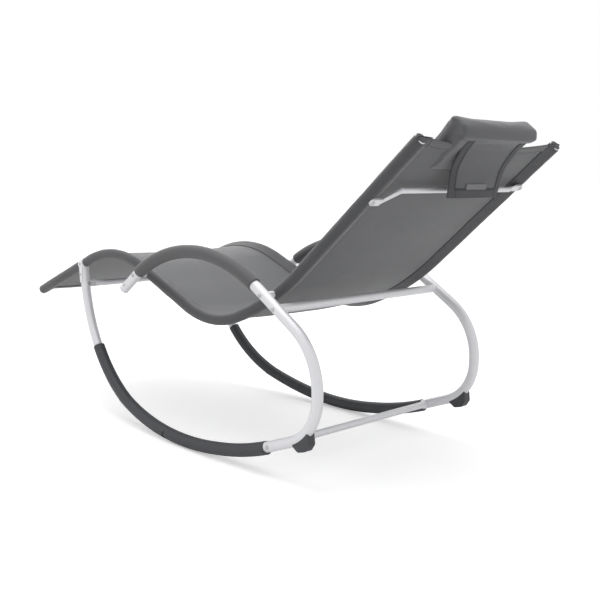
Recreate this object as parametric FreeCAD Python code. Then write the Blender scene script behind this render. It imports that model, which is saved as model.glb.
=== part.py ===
# Rocking chaise lounge: bent steel tube, textile sling and a head pillow with a hanging flap.
# Millimetres. The sitter looks along -Y, +X is the sitter's left, +Z is up, the floor is z = 0.
import FreeCAD, Part
import math
import os

from FreeCAD import Vector

# Overall layout
RAIL_X = 267.0            # centre line of each seat rail from the middle plane
LOOP_X = 312.0            # centre line of each side loop behind the knees
UPRIGHT_X = 267.0         # centre line of each front upright, under its seat rail

# Side loop: one bent tube per side
LOOP_OD = 28.0
LOOP_WALL = 1.5
STUB_END = (-245.0, 408.0)        # (y, z) of the cut front end of the arm
ARM_CORNER = (63.0, 637.0)        # where the stub line and the rear line of the arm would meet
ARM_RADIUS = 469.0
BOW_TOP_CORNER = (546.0, 337.0)   # behind the sitter, upper bend of the rear bow
BOW_TOP_RADIUS = 175.0
BOW_LOW_CORNER = (546.0, 141.0)
BOW_LOW_RADIUS = 128.0
ROCKER_RADIUS = 910.0             # centre line radius of the rocking stretch
ROCKER_LOW_Y = 52.0               # where the rocker touches the floor at rest
ROCKER_REAR_SLOPE = 21.7          # degrees, at the rear end of the rocking stretch
ROCKER_FRONT_SLOPE = 18.5         # degrees, at its front end
ROCKER_BENDS = 3                  # the rocking stretch is rolled in this many equal passes
ROCKER_EASE = 12.0                # straight run left between two passes
TOE_IN = 3.0                      # how far the third pass has already drawn inwards
FRONT_CORNER = (-512.0, 155.0)    # where the rocker line and the front upright would meet
FRONT_RADIUS = 430.0
UPRIGHT_TOP_Y = -541.0

# Seat rails: one S-bent tube per side
RAIL_OD = 26.0
RAIL_WALL = 1.5
RAIL_FOOT = (-803.0, 345.0)
KNEE_CORNER = (-361.0, 528.0)
KNEE_RADIUS = 371.0
SEAT_CORNER = (104.0, 333.0)
SEAT_RADIUS = 292.0
LUMBAR_CORNER = (347.0, 436.0)
LUMBAR_RADIUS = 700.0
RAIL_HEAD = (790.0, 825.4)

# Textile sling
CLOTH = 1.2
SLEEVE_GAP = 0.1                  # between the rail and the cloth sleeve round it
HEM_FOLD = 22.0                   # flat hem beside each sleeve, two layers thick
SLING_SAG = 7.0
SLEEVE_PAST_END = 2.0             # the sleeves run this far past the rail ends
HEM_HOLLOW = 14.0                 # how far the free hems curve in at mid width

UNDER_BACK_LUG = SLEEVE_GAP + CLOTH + 0.1

# Rocker sleeves, arm grips and their ends
ROCKER_SLEEVE_OD = 35.0
ROCKER_SLEEVE_REAR = (375.0, 73.5)
ROCKER_SLEEVE_FRONT = (-452.0, 200.0)
GRIP_OD = 36.0
GRIP_FRONT = (-169.6, 463.8)
GRIP_REAR = (322.0, 472.0)
PLUG_FLANGE = 3.0
PLUG_DEPTH = 34.0
PLUG_CLEARANCE = 0.2
COVER_CLEARANCE = 0.1             # between a tube and what is pulled over it

# Cross members
CROSS_OD = 22.0
ROCKER_BAR_OD = 19.0
CROSS_WALL = 1.2
CROSS_INSERT = 12.0               # threaded insert in each end of a cross tube
CROSS_TUBE_AT = (404.0, 425.0)
ROCKER_BAR_AT = (389.0, 79.0)
BACK_BRACE_OD = 13.0
BACK_BRACE_Y = 649.0              # where the back brace's left lug sits on its rail
BACK_BRACE_RISE = 45.0            # the bar and the right lug are this much nearer to the head
BACK_BRACE_STANDOFF = 5.0
FOOT_BRACE_OD = 16.0
FOOT_BRACE_Z = 389.0
LUG_WIDTH = 20.0
LUG_THICK = 5.0
LUG_LENGTH = 34.0
JOGGLE = 26.0                     # length over which a brace steps from lug to bar

# Rail lugs at the front uprights
SADDLE_THICK = 2.5
SADDLE_WIDTH = 24.0
SADDLE_TAIL = 46.0
LUG_CLEARANCE = 0.2               # lug to rail and to upright
NOTCH_MARGIN = 3.0                # bare rail left each side of a fitting in the sleeve
SLEEVE_CLEAR = 1.0                # sleeve to the upright and its lug

# Bumper feet
FOOT_WIDTH = 24.0
FOOT_OUTLINE = [(474.0, 104.0), (494.0, 91.5), (518.0, 98.0), (530.0, 116.0), (526.0, 145.0),
                (505.0, 136.0)]
FOOT_CHAMFER = 2.5
FOOT_PEG_D = 8.0
FOOT_PEG_REACH = 6.0              # past the tube's outside

# Fasteners
SCREW_D = 6.0
SCREW_HEAD_D = 11.0
SCREW_HEAD_H = 2.6                # above the crown of the tube
SCREW_REACH = 5.0                 # past the last wall that a screw holds
HOLE_CLEARANCE = 0.3
RIVET_D = 4.0
RIVET_HEAD_D = 8.0
RIVET_HEAD_H = 1.4
RIVET_DOWN = 33.0                 # lower rivet of a rail lug, below the rail's centre line
PLUG_SCREW_D = 3.5
PLUG_SCREW_HEAD_D = 7.0
PLUG_SCREW_HEAD_H = 1.6
PLUG_SCREW_IN = 22.0              # from the cut end of the arm
SPACER_OD = 16.0

# Head pillow, placed along the backrest from the head hem and off its cloth
PILLOW_LEFT = 165.0               # its left end, from the middle plane
PILLOW_RIGHT = -128.0
PILLOW_DRAWN = 26.0               # length over which each end is drawn in
PILLOW_BAYS = 4                   # equal spans between its drawn-in ends
PILLOW_LOW = -100.0               # lower end, below the hem
PILLOW_COVER = 1.5                # sewn cover, with only light fibre inside
PILLOW_TOP = 46.0                 # upper end, above the hem
PILLOW_THICK = 44.0
PILLOW_EDGE = 28.0                # thickness at the drawn-in ends
PILLOW_CLEAR = 0.45               # pillow to sling
ROLL_DEPTH = 20.0                 # how far the top rolls back behind the hem
ROLL_LOW = 14.0                   # underside of that roll, above the hem
FLAP_WIDTH = 232.0                # at the pillow
FLAP_END_WIDTH = 196.0
FLAP_MIDDLE = 5.0                 # middle of the flap, to the left of the middle plane
FLAP_THICK = 3.0
FLAP_CLEAR = 0.3                  # flap to the back of the cloth, at the hem
FLAP_PAST_HEM = -14.0             # it leaves the cloth this far below the hem
FLAP_KNEE = (-66.0, -22.0)        # along the back from the hem, and out from the rails' plane
FLAP_END = (-118.0, -66.0)
FLAP_BEND = 90.0
PATCH_SIZE = (78.0, 13.0)
PATCH_THICK = 1.2
PATCH_UP = 26.0

SIDES = (("left", 1.0), ("right", -1.0))


def unit(v):
    return Vector(v) / v.Length


class Path:
    """Straight runs joined by tangent arcs, from corner points and one radius per inner corner."""

    def __init__(self, points, radii):
        self.parts = []
        runs = [points[i + 1] - points[i] for i in range(len(points) - 1)]
        turns = [unit(runs[i]).getAngle(unit(runs[i + 1])) for i in range(len(radii))]
        reaches = [radius * math.tan(turn / 2) for radius, turn in zip(radii, turns)]
        for i, run in enumerate(runs):
            before = reaches[i - 1] if i > 0 else 0.0
            after = reaches[i] if i < len(reaches) else 0.0
            spare = run.Length / max(before + after, run.Length)
            if i > 0:
                reaches[i - 1] = before * spare
            if i < len(reaches):
                reaches[i] = after * spare
        here = points[0]
        for i, reach in enumerate(reaches):
            before = unit(runs[i])
            start = points[i + 1] - before * reach
            if (start - here).Length > 0.01:
                self.parts.append(("line", here, start))
            axis = unit(before.cross(runs[i + 1]))
            radius = reach / math.tan(turns[i] / 2)
            centre = start + axis.cross(before) * radius
            self.parts.append(("arc", start, centre, axis, turns[i], before))
            here = points[i + 1] + unit(runs[i + 1]) * reach
        if (points[-1] - here).Length > 0.01:
            self.parts.append(("line", here, points[-1]))

    def part_length(self, part):
        if part[0] == "line":
            return (part[2] - part[1]).Length
        return (part[1] - part[2]).Length * part[4]

    def length(self):
        return sum(self.part_length(part) for part in self.parts)

    def at(self, s):
        """Point and direction at a distance along the path."""
        for i, part in enumerate(self.parts):
            size = self.part_length(part)
            if s <= size or i == len(self.parts) - 1:
                break
            s -= size
        if part[0] == "line":
            direction = unit(part[2] - part[1])
            return part[1] + direction * s, direction
        turn = FreeCAD.Rotation(part[3], math.degrees(s / (part[1] - part[2]).Length))
        return part[2] + turn.multVec(part[1] - part[2]), turn.multVec(part[5])

    def cut(self, first, last):
        """The stretch between two distances, as a new path."""
        piece = Path.__new__(Path)
        piece.parts = []
        done = 0.0
        for part in self.parts:
            size = self.part_length(part)
            low = max(first - done, 0.0)
            high = min(last - done, size)
            if high - low > 0.01:
                start, direction = self.at(done + low + 1e-6)
                if part[0] == "line":
                    piece.parts.append(("line", start, start + direction * (high - low)))
                else:
                    turn = part[4] * (high - low) / size
                    piece.parts.append(("arc", start, part[2], part[3], turn, direction))
            done += size
        return piece

    def nearest(self, point):
        """Distance along the path of the place nearest to a point."""
        total = self.length()
        best = min((self.at(total * i / 400)[0].distanceToPoint(point), total * i / 400)
                   for i in range(401))[1]
        step = total / 400
        while step > 0.01:
            best = min(((self.at(max(0.0, min(total, best + k * step)))[0].distanceToPoint(point),
                         max(0.0, min(total, best + k * step))) for k in (-1, 0, 1)))[1]
            step /= 2
        return best


def disc(centre, direction, radius):
    return Part.Face(Part.Wire(Part.makeCircle(radius, centre, direction)))


def annulus(centre, direction, outer, inner):
    face = disc(centre, direction, outer)
    if inner > 0:
        face = face.cut(disc(centre, direction, inner)).Faces[0]
    return face


def swept(path, section_at):
    """A section carried along a path, as one solid."""
    pieces = []
    for part in path.parts:
        if part[0] == "line":
            run = part[2] - part[1]
            pieces.append(section_at(part[1], unit(run)).extrude(run))
        else:
            section = section_at(part[1], part[5])
            pieces.append(section.revolve(part[2], part[3], math.degrees(part[4])))
    return fused(pieces)


def fused(shapes):
    body = shapes[0]
    if len(shapes) > 1:
        body = body.multiFuse(shapes[1:]).removeSplitter()
    return body.Solids[0] if len(body.Solids) == 1 else body


def tube(path, outer_d, inner_d=0.0):
    return swept(path, lambda p, d: annulus(p, d, outer_d / 2, inner_d / 2))


def rod(start, direction, diameter, length):
    return Part.makeCylinder(diameter / 2, length, start, unit(direction))


def to_side(shape, side):
    return shape if side > 0 else shape.mirror(Vector(0, 0, 0), Vector(1, 0, 0))


def loop_path():
    """Centre line of the left side loop, from the stub in front round the back to the upright."""
    points = [Vector(LOOP_X, *STUB_END), Vector(LOOP_X, *ARM_CORNER),
              Vector(LOOP_X, *BOW_TOP_CORNER), Vector(LOOP_X, *BOW_LOW_CORNER)]
    radii = [ARM_RADIUS, BOW_TOP_RADIUS, BOW_LOW_RADIUS]
    bend = math.radians(ROCKER_REAR_SLOPE + ROCKER_FRONT_SLOPE) / ROCKER_BENDS
    reach = ROCKER_RADIUS * math.tan(bend / 2)
    slope = math.radians(ROCKER_REAR_SLOPE)
    axis_z = ROCKER_SLEEVE_OD / 2
    y = ROCKER_LOW_Y + ROCKER_RADIUS * math.sin(slope)
    z = axis_z + ROCKER_RADIUS * (1 - math.cos(slope))
    step = reach
    for i in range(ROCKER_BENDS):
        y -= step * math.cos(slope)
        z -= step * math.sin(slope)
        inward = TOE_IN if i == ROCKER_BENDS - 1 else 0.0
        points.append(Vector(LOOP_X - inward, y, z))
        radii.append(ROCKER_RADIUS)
        slope -= bend
        step = 2 * reach + ROCKER_EASE
    points.append(Vector(UPRIGHT_X, *FRONT_CORNER))
    radii.append(FRONT_RADIUS)
    points.append(Vector(UPRIGHT_X, UPRIGHT_TOP_Y, rail_z(UPRIGHT_TOP_Y)))
    return Path(points, radii)


def rail_path(x=RAIL_X):
    points = [Vector(x, *p) for p in (RAIL_FOOT, KNEE_CORNER, SEAT_CORNER, LUMBAR_CORNER, RAIL_HEAD)]
    return Path(points, [KNEE_RADIUS, SEAT_RADIUS, LUMBAR_RADIUS])


def rail_at_y(y):
    """Point and direction of the left rail's centre line at a given y."""
    path = rail_path()
    low, high = 0.0, path.length()
    while high - low > 0.001:
        middle = (low + high) / 2
        if path.at(middle)[0].y < y:
            low = middle
        else:
            high = middle
    return path.at(low)


def rail_z(y):
    return rail_at_y(y)[0].z


def loop_at(place, x=LOOP_X):
    """Point and direction of the left loop nearest to a (y, z) place."""
    path = loop_path()
    return path.at(path.nearest(Vector(x, *place)))


def crossing(y_low, y_high):
    """Where a rail passes beside its loop: the point on the rail with the loop's height."""
    best = None
    for i in range(201):
        y = y_low + (y_high - y_low) * i / 200
        rail = rail_at_y(y)[0]
        path = loop_path()
        near = path.at(path.nearest(Vector(LOOP_X, rail.y, rail.z)))[0]
        gap = math.hypot(near.y - rail.y, near.z - rail.z)
        if best is None or gap < best[0]:
            best = (gap, rail)
    return best[1]


# Tubes of the frame

def side_loop():
    path = loop_path()
    body = tube(path, LOOP_OD, LOOP_OD - 2 * LOOP_WALL)
    seat, direction = rail_at_y(UPRIGHT_TOP_Y)
    saddle = rod(seat - direction * 60, direction, RAIL_OD, 120)
    above = Part.makeBox(80, 80, 80, Vector(seat.x - 40, seat.y - 40, seat.z))
    body = body.cut(saddle.fuse(above))
    return max(body.Solids, key=lambda s: s.Volume)


def seat_rail():
    return tube(rail_path(), RAIL_OD, RAIL_OD - 2 * RAIL_WALL)


def tube_plug(end, outward, tube_d, wall):
    """Moulded plug: a flange on the cut end, bevelled, and a hollow shank inside the tube."""
    flange = rod(end, outward, tube_d, PLUG_FLANGE)
    rim = [e for e in flange.Edges
           if e.CenterOfMass.distanceToPoint(end + outward * PLUG_FLANGE) < 0.1]
    flange = flange.makeChamfer(PLUG_FLANGE * 0.6, rim)
    shank_d = tube_d - 2 * wall - 2 * PLUG_CLEARANCE
    shank = rod(end, outward * -1, shank_d, PLUG_DEPTH)
    bore = rod(end - outward * 2, outward * -1, shank_d - 6, PLUG_DEPTH)
    return fused([flange, shank.cut(bore)])


def rocker_sleeve():
    path = loop_path()
    first = path.nearest(Vector(LOOP_X, *ROCKER_SLEEVE_REAR))
    last = path.nearest(Vector(UPRIGHT_X, *ROCKER_SLEEVE_FRONT))
    return tube(path.cut(first, last), ROCKER_SLEEVE_OD, LOOP_OD + 2 * COVER_CLEARANCE)


def arm_grip():
    path = loop_path()
    first = path.nearest(Vector(LOOP_X, *GRIP_FRONT))
    last = path.nearest(Vector(LOOP_X, *GRIP_REAR))
    return tube(path.cut(first, last), GRIP_OD, LOOP_OD + 2 * COVER_CLEARANCE)


def bumper_foot():
    """Wedge pad pressed on the outside of the lower rear bend."""
    x = LOOP_X - FOOT_WIDTH / 2
    corners = [Vector(x, y, z) for y, z in FOOT_OUTLINE]
    face = Part.Face(Part.makePolygon(corners + corners[:1]))
    block = face.extrude(Vector(FOOT_WIDTH, 0, 0))
    outer = [e for e in block.Edges if abs(e.CenterOfMass.x - LOOP_X) < 0.01
             and e.CenterOfMass.z < FOOT_OUTLINE[-1][1] + 20]
    block = block.makeChamfer(FOOT_CHAMFER, outer)
    block = max(block.cut(tube(loop_path(), LOOP_OD)).Solids, key=lambda s: s.Volume)
    return fused([block, foot_peg(FOOT_PEG_D)])


def foot_peg(diameter):
    """Peg of the wedge, square to the lower rear bend, from inside the wedge to inside the tube."""
    path = loop_path()
    middle = Vector(LOOP_X, (FOOT_OUTLINE[2][0] + FOOT_OUTLINE[3][0]) / 2,
                    (FOOT_OUTLINE[2][1] + FOOT_OUTLINE[3][1]) / 2)
    seat = path.at(path.nearest(middle))[0]
    out = unit(middle - seat)
    return rod(seat + out * (LOOP_OD / 2 - FOOT_PEG_REACH), out, diameter, FOOT_PEG_REACH + 3)


def spacer(place):
    """Turned spacer between a rail and its loop, coped to both."""
    start = Vector(RAIL_X, place.y, place.z)
    body = rod(start, Vector(1, 0, 0), SPACER_OD, LOOP_X - RAIL_X)
    loop_seat, loop_way = loop_at((place.y, place.z))
    rail_seat, rail_way = rail_at_y(place.y)
    body = body.cut([rod(loop_seat - loop_way * 40, loop_way, LOOP_OD + COVER_CLEARANCE, 80),
                     rod(rail_seat - rail_way * 40, rail_way, RAIL_OD + COVER_CLEARANCE, 80)])
    return min(body.Solids, key=lambda s: abs(s.CenterOfMass.x - (LOOP_X + RAIL_X) / 2))


def cross_member(place, diameter):
    """Straight tube between the loops, coped to them, with a threaded insert welded in each end."""
    seat = loop_at(place)[0]
    across = Vector(1, 0, 0)
    body = rod(Vector(-LOOP_X, seat.y, seat.z), across, diameter, 2 * LOOP_X)
    hollow = LOOP_X - LOOP_OD / 2 - CROSS_INSERT
    body = body.cut(rod(Vector(-hollow, seat.y, seat.z), across, diameter - 2 * CROSS_WALL, 2 * hollow))
    cope = tube(loop_path(), LOOP_OD)
    body = body.cut([cope, to_side(cope, -1)])
    return min(body.Solids, key=lambda s: abs(s.CenterOfMass.x))


def brace(bar_at, bar_d, lug_centres, lug_normal, half_span):
    """Round bar with flattened lugs: each end steps from the bar's line to its lug's plane."""
    bar_end = half_span - LUG_LENGTH - JOGGLE
    bar = rod(Vector(-bar_end, bar_at.y, bar_at.z), Vector(1, 0, 0), bar_d, 2 * bar_end)
    along = unit(lug_normal.cross(Vector(1, 0, 0)))
    pieces = [bar]
    for sign, lug_centre in zip((1, -1), lug_centres):
        inner = Vector(sign * (half_span - LUG_LENGTH), lug_centre.y, lug_centre.z)
        outer = Vector(sign * half_span, lug_centre.y, lug_centre.z)
        a = along * (LUG_WIDTH / 2)
        n = lug_normal * (LUG_THICK / 2)
        ring = lambda c: Part.makePolygon([c + a + n, c - a + n, c - a - n, c + a - n, c + a + n])
        lug = Part.Face(ring(inner)).extrude(outer - inner)
        tips = [e for e in lug.Edges if abs(e.CenterOfMass.x - outer.x) < 0.01
                and abs(e.Length - LUG_THICK) < 0.01]
        lug = lug.makeFillet(LUG_WIDTH / 2 - 1, tips)
        neck_end = Vector(sign * bar_end, bar_at.y, bar_at.z)
        circle = Part.Wire(Part.makeCircle(bar_d / 2, neck_end, Vector(sign, 0, 0)))
        flat = squashed(inner, a, n)
        oval = squashed((inner + neck_end) / 2, a * 0.92, lug_normal * (bar_d * 0.34))
        pieces += [lug, Part.makeLoft([circle, oval, flat], True, False)]
    return fused(pieces)


def squashed(centre, half_wide, half_thick):
    """Closed oval wire in a plane across X, as flattened tube has."""
    ellipse = Part.Ellipse(centre + half_wide, centre + half_thick, centre)
    return Part.Wire(ellipse.toShape())


def back_brace_frame():
    """Left lug's centre moved to the middle plane, direction towards the head, rearward normal."""
    point, direction = rail_at_y(BACK_BRACE_Y)
    normal = Vector(1, 0, 0).cross(direction)
    if normal.z > 0:
        normal = normal * -1
    centre = Vector(0, point.y, point.z) + normal * (RAIL_OD / 2 + UNDER_BACK_LUG + LUG_THICK / 2)
    return centre, direction, normal


def back_brace():
    """Its lugs sit on the cloth sleeves; the left one hangs below the bar, the right one is level."""
    left, direction, normal = back_brace_frame()
    right = left + direction * BACK_BRACE_RISE
    return brace(right + normal * BACK_BRACE_STANDOFF, BACK_BRACE_OD, (left, right), normal,
                 RAIL_X + LUG_WIDTH / 2 - 4)


def foot_brace_frame():
    """Lug centre on the middle plane, and the outward normal, on the rear of the uprights."""
    path = loop_path()
    point, direction = path.at(path.nearest(Vector(UPRIGHT_X, UPRIGHT_TOP_Y, FOOT_BRACE_Z)))
    normal = unit(Vector(1, 0, 0).cross(direction))
    if normal.y < 0:
        normal = normal * -1
    return Vector(0, point.y, point.z) + normal * (LOOP_OD / 2 + LUG_THICK / 2), normal


def foot_brace():
    centre, normal = foot_brace_frame()
    return brace(centre + Vector(0, 4, 0), FOOT_BRACE_OD, (centre, centre), normal,
                 UPRIGHT_X + LUG_WIDTH / 2 - 2)


def rail_lug():
    """Cupped strap over the outside of the rail, with a tail down the outside of the upright."""
    seat, direction = rail_at_y(UPRIGHT_TOP_Y)
    inner = RAIL_OD / 2 + LUG_CLEARANCE
    ring = annulus(seat - direction * (SADDLE_WIDTH / 2), direction, inner + SADDLE_THICK, inner)
    ring = ring.extrude(direction * SADDLE_WIDTH)
    normal = unit(Vector(1, 0, 0).cross(direction))
    if normal.z < 0:
        normal = normal * -1
    keep = Part.makeBox(40, 80, 120, Vector(seat.x - 3, seat.y - 40, seat.z - 60))
    ring = ring.common(keep)
    path = loop_path()
    top = path.length()
    tail_path = path.cut(top - SADDLE_TAIL - RAIL_OD / 2, top - RAIL_OD / 4)
    cup = tube(tail_path, LOOP_OD + 2 * (LUG_CLEARANCE + SADDLE_THICK))
    front = Part.makeBox(60, 60, 120, Vector(seat.x - 3, seat.y - 50, seat.z - 110))
    bore = rod(seat - direction * 60, direction, RAIL_OD + 2 * LUG_CLEARANCE, 120)
    cup = cup.common(front).cut(bore)
    post = tube(path.cut(top - 2 * SADDLE_TAIL, top), LOOP_OD + 2 * LUG_CLEARANCE)
    body = ring.fuse(max(cup.Solids, key=lambda s: s.Volume)).cut(post)
    return max(body.Solids, key=lambda s: s.Volume)


# Textile sling

def notch(y, width):
    """Box that bares a rail round a fitting, in the rail's own direction."""
    point, direction = rail_at_y(y)
    box = Part.makeBox(60, width, 60, Vector(-30, -width / 2, -30))
    angle = math.degrees(math.atan2(direction.z, direction.y))
    box.rotate(Vector(0, 0, 0), Vector(1, 0, 0), angle)
    box.translate(Vector(point.x + 13, point.y, point.z))
    return box


def sling():
    """Panel with a sewn sleeve along each rail, and free hems that curve in at both ends."""
    inner = RAIL_OD / 2 + SLEEVE_GAP
    outer = inner + CLOTH
    half = RAIL_X - inner - CLOTH / 2

    def section(point, direction):
        up = unit(Vector(1, 0, 0).cross(direction))
        if direction.y < 0:
            up = up * -1
        place = lambda x, n: Vector(x, point.y, point.z) + up * n
        fold = CLOTH
        edge = half - HEM_FOLD
        thin = CLOTH / 2
        top = Part.Arc(place(-edge, thin), place(0, thin - SLING_SAG), place(edge, thin)).toShape()
        low = Part.Arc(place(edge, -thin), place(0, -thin - SLING_SAG), place(-edge, -thin)).toShape()
        sides = []
        for a, b in (((edge, thin), (edge, fold)), ((edge, fold), (half + 0.4, fold)),
                     ((half + 0.4, fold), (half + 0.4, -fold)), ((half + 0.4, -fold), (edge, -fold)),
                     ((edge, -fold), (edge, -thin))):
            sides.append(Part.LineSegment(place(*a), place(*b)).toShape())
        mirrored = [s.mirror(Vector(0, 0, 0), Vector(1, 0, 0)) for s in sides]
        panel = Part.Face(Part.Wire(Part.__sortEdges__([top, low] + sides + mirrored)))
        rings = [annulus(place(s * RAIL_X, 0), direction, outer, inner) for s in (1, -1)]
        whole = panel.multiFuse(rings).removeSplitter()
        return whole.Faces[0] if len(whole.Faces) == 1 else whole

    path = rail_path(0.0)
    start, first = path.at(0.0)
    end, last = path.at(path.length())
    path.parts.insert(0, ("line", start - first * SLEEVE_PAST_END, start))
    path.parts.append(("line", end, end + last * SLEEVE_PAST_END))
    body = swept(path, section)
    loop = loop_path()
    post = loop.cut(loop.length() - 2 * SADDLE_TAIL, loop.length())
    cuts = [notch(UPRIGHT_TOP_Y, SADDLE_WIDTH + 2 * NOTCH_MARGIN),
            tube(post, LOOP_OD + 2 * (LUG_CLEARANCE + SADDLE_THICK + SLEEVE_CLEAR))]
    for place in (crossing(-240, -140), crossing(300, 420)):
        cuts.append(rod(Vector(RAIL_X, place.y, place.z), Vector(1, 0, 0),
                        SPACER_OD + 2 * SLEEVE_CLEAR, 40))
    cuts += [to_side(c, -1) for c in cuts]
    for end, direction in ((start - first * SLEEVE_PAST_END, first), (end + last * SLEEVE_PAST_END,
                                                                      last * -1)):
        cuts.append(hem_cutter(end, direction))
    return body.cut(cuts)


def hem_cutter(end, inward):
    """Shallow round cutter that hollows a free hem between the sleeves."""
    reach = RAIL_X - RAIL_OD
    up = unit(Vector(1, 0, 0).cross(inward))
    low = end - up * 60
    a, b = low + Vector(-reach, 0, 0), low + Vector(reach, 0, 0)
    middle = low + inward * HEM_HOLLOW
    out = inward * -20
    edges = [Part.Arc(a, middle, b).toShape(), Part.LineSegment(b, b + out).toShape(),
             Part.LineSegment(b + out, a + out).toShape(), Part.LineSegment(a + out, a).toShape()]
    return Part.Face(Part.Wire(edges)).extrude(up * 120)


# Head pillow

def back_axes():
    """Head end of the sling on the middle plane, direction towards the head and sitter's side."""
    path = rail_path(0.0)
    end, direction = path.at(path.length())
    up = unit(Vector(1, 0, 0).cross(direction))
    if up.z < 0:
        up = up * -1
    return end, direction, up


def pillow():
    """Padded roll that folds back over the head hem, as its sewn cover, closed all round."""
    return pillow_form(0.0).cut(pillow_form(PILLOW_COVER))


def pillow_form(skin):
    """The roll, drawn in all round by skin; its back follows the sag of the sling."""
    end, direction, up = back_axes()
    rest = CLOTH / 2 + PILLOW_CLEAR - SLING_SAG
    seam = RAIL_X - RAIL_OD / 2 - SLEEVE_GAP - CLOTH / 2 - HEM_FOLD
    right, left = PILLOW_RIGHT + PILLOW_DRAWN, PILLOW_LEFT - PILLOW_DRAWN
    across = [right + (left - right) * i / PILLOW_BAYS for i in range(PILLOW_BAYS + 1)]
    across = ([PILLOW_RIGHT + skin, PILLOW_RIGHT + PILLOW_DRAWN / 3] + across
              + [PILLOW_LEFT - PILLOW_DRAWN / 3, PILLOW_LEFT - skin])
    wires = []
    for x in across:
        inset = min(x - PILLOW_RIGHT, PILLOW_LEFT - x) / PILLOW_DRAWN
        fullness = 1 - max(0.0, 1 - inset) ** 2
        drawn_in = 8 * (1 - fullness)
        slack = (PILLOW_THICK - PILLOW_EDGE) * (1 - fullness) / 2
        back = rest + max(SLING_SAG * (x / seam) ** 2, slack) + skin
        front = rest + PILLOW_THICK - slack - skin
        low, top = PILLOW_LOW + drawn_in + skin, PILLOW_TOP - drawn_in - skin
        roll = back - ROLL_DEPTH * (0.7 + 0.3 * fullness)
        roll_low = ROLL_LOW + skin
        outline = [(low, back), (low, front), (top, front), (top, roll), (roll_low, roll),
                   (roll_low, back)]
        soft = (front - back) * 0.4
        middle = end + Vector(x, 0, 0)
        wires.append(rounded([middle + direction * a + up * t for a, t in outline],
                             [soft, soft, soft, 10.0, 8.0, 4.0]))
    return Part.makeLoft(wires, True, True)


def rounded(corners, radii):
    """Closed wire through corners, each one rounded by its own radius."""
    edges = []
    count = len(corners)
    ends = []
    for i in range(count):
        before = unit(corners[i] - corners[i - 1])
        after = unit(corners[(i + 1) % count] - corners[i])
        reach = radii[i] * math.tan(before.getAngle(after) / 2)
        start, stop = corners[i] - before * reach, corners[i] + after * reach
        inward = unit(after - before)
        off = math.hypot(reach, radii[i]) - radii[i]
        edges.append(Part.Arc(start, corners[i] + inward * off, stop).toShape())
        ends.append((start, stop))
    for i in range(count):
        edges.insert(2 * i + 1, Part.LineSegment(ends[i][1], ends[(i + 1) % count][0]).toShape())
    return Part.Wire(edges)


def flap_path():
    """From inside the pillow's roll, down over the hem's back face, then hanging free."""
    end, direction, up = back_axes()
    behind = -(SLING_SAG + CLOTH / 2 + FLAP_CLEAR + FLAP_THICK / 2)
    places = [(ROLL_LOW + 3, behind), (FLAP_PAST_HEM, behind), FLAP_KNEE, FLAP_END]
    return Path([end + direction * a + up * t for a, t in places], [FLAP_BEND, FLAP_BEND])


def flap_normal(direction):
    return unit(Vector(1, 0, 0).cross(direction))


def flap():
    """Strip of constant thickness that narrows evenly towards its hanging end."""
    def section(point, direction):
        side = flap_normal(direction) * (FLAP_THICK / 2)
        middle = point + Vector(FLAP_MIDDLE, 0, 0)
        x = Vector(FLAP_WIDTH / 2, 0, 0)
        corners = [middle + x + side, middle - x + side, middle - x - side, middle + x - side]
        return Part.Face(Part.makePolygon(corners + corners[:1]))

    path = flap_path()
    body = swept(path, section).cut(pillow_form(0.0))
    top, low = path.at(0.0)[0], path.at(path.length())[0]
    for sign in (1, -1):
        at = lambda half, point, z: Vector(FLAP_MIDDLE + sign * half, point.y - 200, point.z + z)
        corners = [at(FLAP_WIDTH / 2, top, 0), at(FLAP_END_WIDTH / 2, low, 0),
                   at(FLAP_END_WIDTH / 2, low, -30), at(FLAP_WIDTH, low, -30), at(FLAP_WIDTH, top, 0)]
        corners = [Vector(c.x, low.y - 200, c.z) for c in corners]
        body = body.cut(Part.Face(Part.makePolygon(corners + corners[:1])).extrude(Vector(0, 400, 0)))
    return body


def patch():
    """Sewn patch near the flap's lower end, on its outer face."""
    path = flap_path()
    point, direction = path.at(path.length() - PATCH_UP)
    outward = flap_normal(direction)
    if outward.y < 0:
        outward = outward * -1
    corner = point + outward * (FLAP_THICK / 2) + Vector(FLAP_MIDDLE - PATCH_SIZE[0] / 2, 0, 0)
    corner = corner - direction * (PATCH_SIZE[1] / 2)
    corners = [corner, corner + Vector(PATCH_SIZE[0], 0, 0),
               corner + Vector(PATCH_SIZE[0], 0, 0) + direction * PATCH_SIZE[1],
               corner + direction * PATCH_SIZE[1]]
    return Part.Face(Part.makePolygon(corners + corners[:1])).extrude(outward * PATCH_THICK)


# Fasteners

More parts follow.
